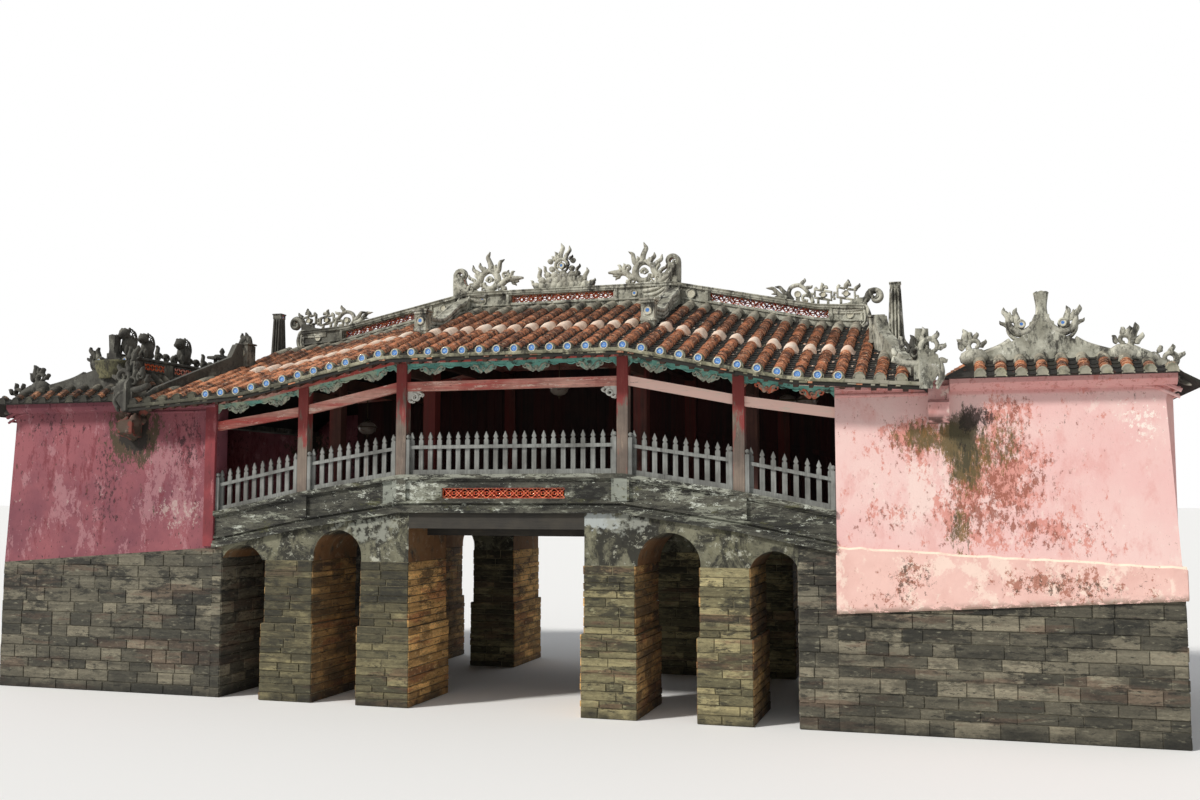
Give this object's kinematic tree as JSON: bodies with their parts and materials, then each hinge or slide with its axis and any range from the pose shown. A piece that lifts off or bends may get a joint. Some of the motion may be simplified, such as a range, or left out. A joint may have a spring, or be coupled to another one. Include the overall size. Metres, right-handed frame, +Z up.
{
  "type": "covered bridge",
  "caption": "Old covered bridge on stone piers with arches, timber railings, bent tiled roof with carved lime ridges, and a pink plastered gate house at each end.",
  "frame": {"origin": "middle of the centre bay on the bridge axis, at the foot of the piers where they meet the water", "axes": "+X runs along the bridge to the east end, +Y across it to the far side, +Z up"},
  "size_m": [18.16, 6.7358, 7.3788],
  "materials": {
    "bank_stone": "rough stone and lime",
    "pier_stone": "coursed stone blocks",
    "arch_stone": "weathered lime render",
    "floor_wood": "worn boards",
    "beam_wood": "old dark timber",
    "parapet_stone": "blackened lime render with pale patches",
    "lattice_ceramic": "orange glazed lattice",
    "post_wood": "weathered red-brown paint",
    "red_wood": "faded red paint",
    "fascia_wood": "faded turquoise paint",
    "grey_wood": "grey weathered timber",
    "roof_tile": "old clay tiles",
    "ridge_mortar": "grey weathered lime mortar",
    "wall_plaster": "stained pink lime plaster"
  },
  "bodies": {
    "root": {"abutment_west": "bank_stone", "abutment_east": "bank_stone", "piers_near": "pier_stone", "piers_far": "pier_stone", "arches_near": "arch_stone", "arches_far": "arch_stone", "deck": "floor_wood", "span_beams": "beam_wood", "cross_girders": "beam_wood", "parapet_near": "parapet_stone", "parapet_far": "parapet_stone", "lattice_windows": "lattice_ceramic", "posts_near": "post_wood", "posts_far": "post_wood", "inner_columns": "red_wood", "lintels_near": "red_wood", "lintels_far": "red_wood", "tie_beams": "red_wood", "roof_beams": "red_wood", "fascia_near": "fascia_wood", "fascia_far": "fascia_wood", "railing_centre": "grey_wood", "railing_west": "grey_wood", "railing_east": "grey_wood", "railings_far": "grey_wood", "rear_partition": "red_wood", "roof_near": "roof_tile", "roof_far": "roof_tile", "roof_hip_west": "roof_tile", "roof_hip_east": "roof_tile", "ridge_centre": "ridge_mortar", "ridge_west": "ridge_mortar", "ridge_east": "ridge_mortar", "roof_ridges": "ridge_mortar", "ridge_ornaments": "ridge_mortar", "ridge_end_pillars": "ridge_mortar", "end_house_walls_west": "wall_plaster", "end_house_walls_east": "wall_plaster", "street_front_west": "wall_plaster", "street_front_east": "wall_plaster", "end_house_roof_west": "roof_tile", "end_house_roof_east": "roof_tile", "end_house_caps": "ridge_mortar", "rain_spouts": "wall_plaster", "valley_gutters": "ridge_mortar"}
  },
  "joints": []
}
